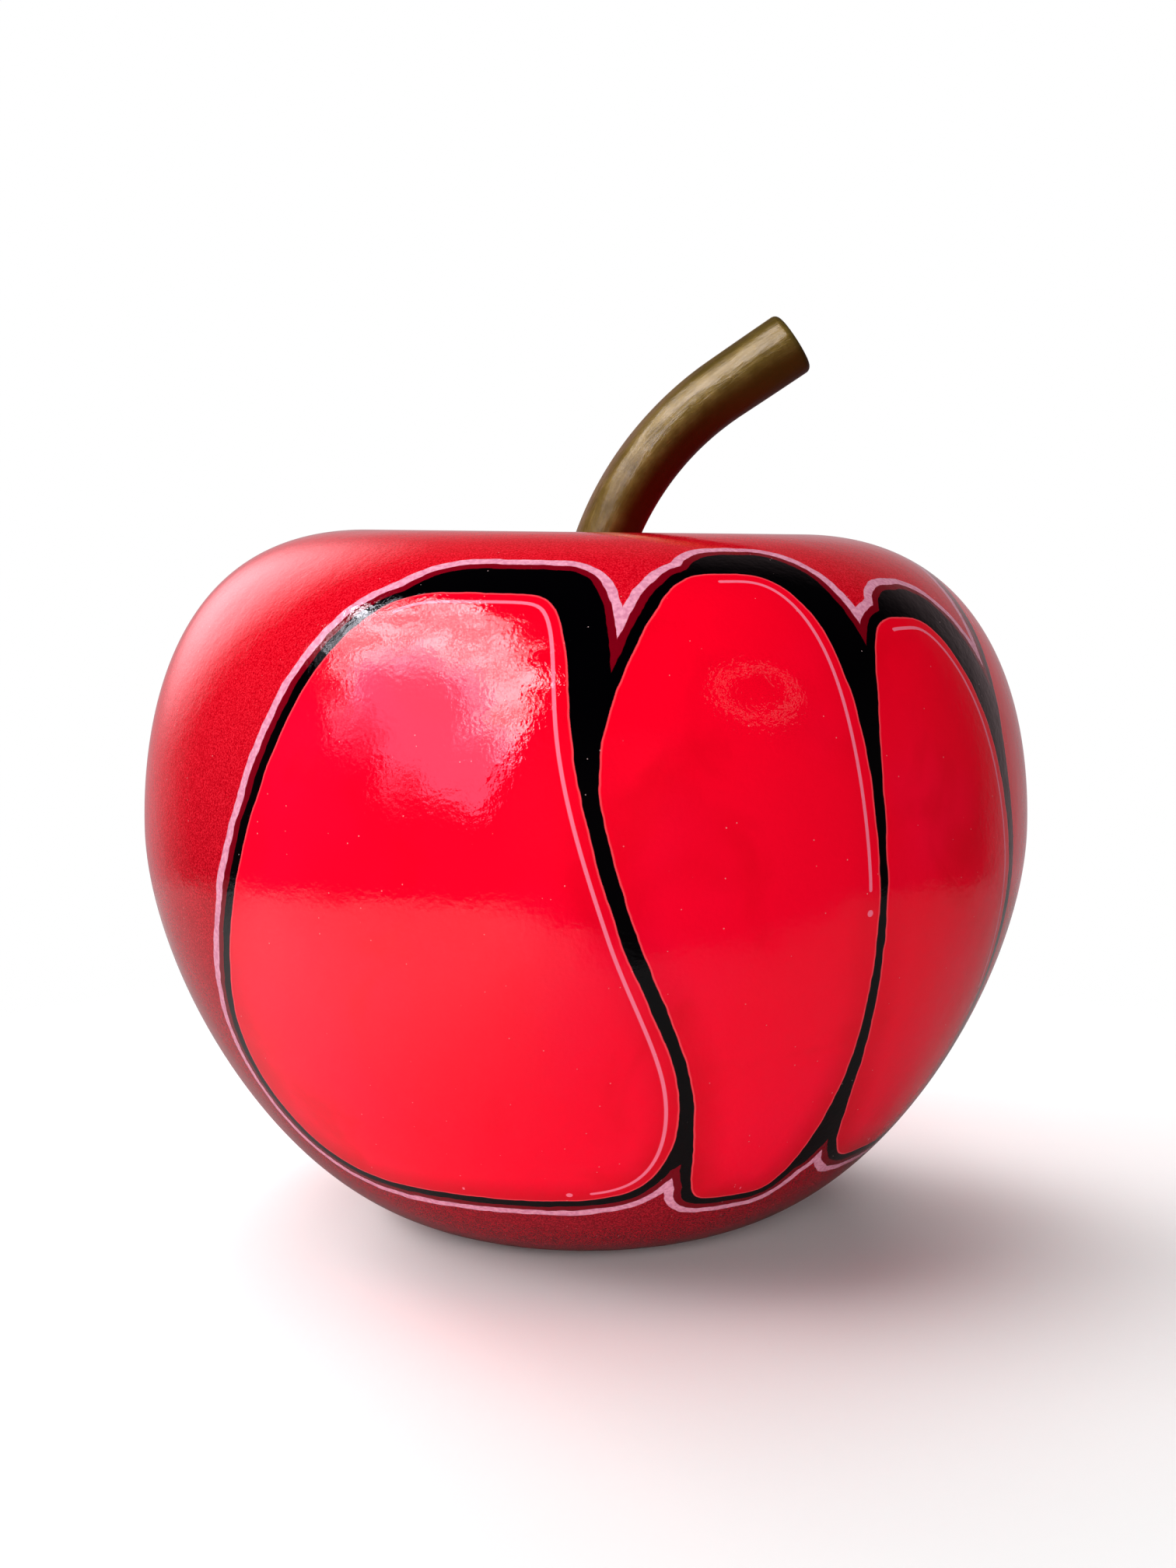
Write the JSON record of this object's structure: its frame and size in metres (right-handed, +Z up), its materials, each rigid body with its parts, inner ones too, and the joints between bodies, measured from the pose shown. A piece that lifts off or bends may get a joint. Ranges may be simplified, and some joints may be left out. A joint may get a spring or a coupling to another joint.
{
  "type": "apple sculpture",
  "caption": "Round lacquered apple sculpture with a dimpled crown, a flat foot and a curved bronze stem, painted with rounded panels.",
  "frame": {"origin": "centre of the flat foot, on the surface that the apple stands on", "axes": "+Z up out of the crown, +X the way the stem leans, and the side shown first faces -Y"},
  "size_m": [0.3, 0.3, 0.3064],
  "materials": {
    "body_lacquer": "gloss",
    "stem_bronze": "satin, aged"
  },
  "bodies": {
    "root": {"apple_body": "body_lacquer", "apple_stem": "stem_bronze"}
  },
  "joints": []
}
